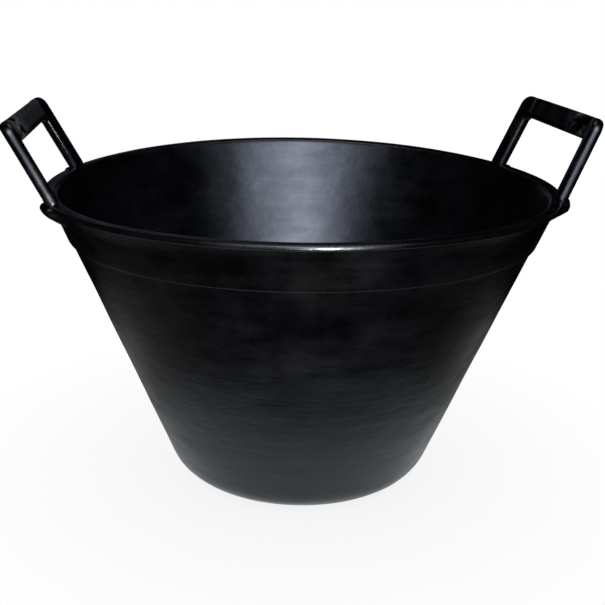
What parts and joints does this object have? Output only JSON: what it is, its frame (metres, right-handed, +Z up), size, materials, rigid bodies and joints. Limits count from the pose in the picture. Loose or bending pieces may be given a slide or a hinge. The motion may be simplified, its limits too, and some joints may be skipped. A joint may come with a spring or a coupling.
{
  "type": "mortar mixing tub",
  "caption": "Conical black rubber mixing tub with a thickened rim band, a lip and a rigid carrying handle on each side.",
  "frame": {"origin": "centre of the underside, on the plane that the tub stands on", "axes": "+Z up along the tub's axis, +X out through the right handle, +Y across the tub, away from the usual viewer"},
  "size_m": [0.4292, 0.4, 0.2972],
  "materials": {
    "rubber": "semi-gloss, mottled and scuffed",
    "nylon": "satin, worn on the grip"
  },
  "bodies": {
    "root": {"tub_body": "rubber", "handle_right": "nylon", "handle_left": "nylon"}
  },
  "joints": []
}
